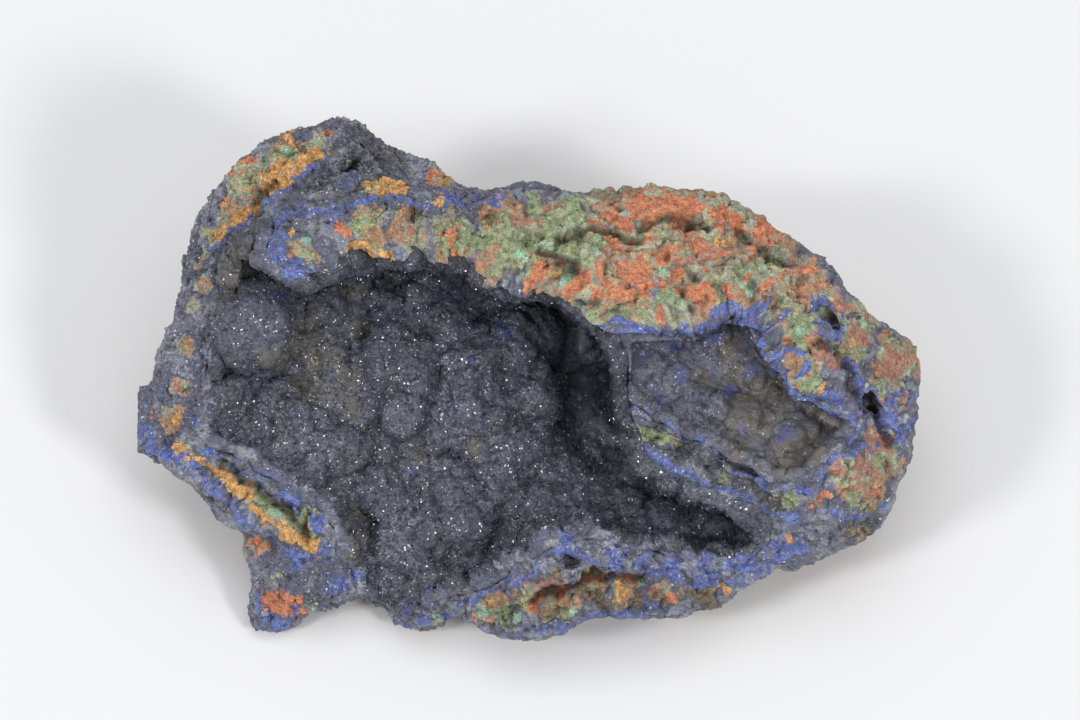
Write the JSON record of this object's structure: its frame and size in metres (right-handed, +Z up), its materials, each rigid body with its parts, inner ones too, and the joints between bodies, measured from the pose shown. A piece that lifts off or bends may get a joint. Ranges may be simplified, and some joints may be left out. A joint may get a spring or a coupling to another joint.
{
  "type": "azurite specimen",
  "caption": "Lump of iron-stained copper ore, broken open on a hollow lined with drusy azurite, beside a smaller azurite-lined bowl. Rests on a flat underside.",
  "frame": {"origin": "middle of the bounding box's underside, at the height the rock rests on", "axes": "+X along the rock's length towards its bowl, +Y towards its high rim and the pocket, +Z up as it rests, with the broken face looking up and towards -Y"},
  "size_m": [0.1112, 0.0696, 0.0501],
  "materials": {
    "iron_stained_ore": "rough, earthy, broken",
    "drusy_azurite": "blue-black druse with tiny glinting crystal faces",
    "botryoidal_azurite": "dull blue-brown velvety knobs",
    "sparkling_azurite": "blue-black druse"
  },
  "bodies": {
    "root": {"ore_matrix": "iron_stained_ore", "vug_crust": "drusy_azurite", "bowl_crust": "botryoidal_azurite", "pocket_crust": "sparkling_azurite"}
  },
  "joints": []
}
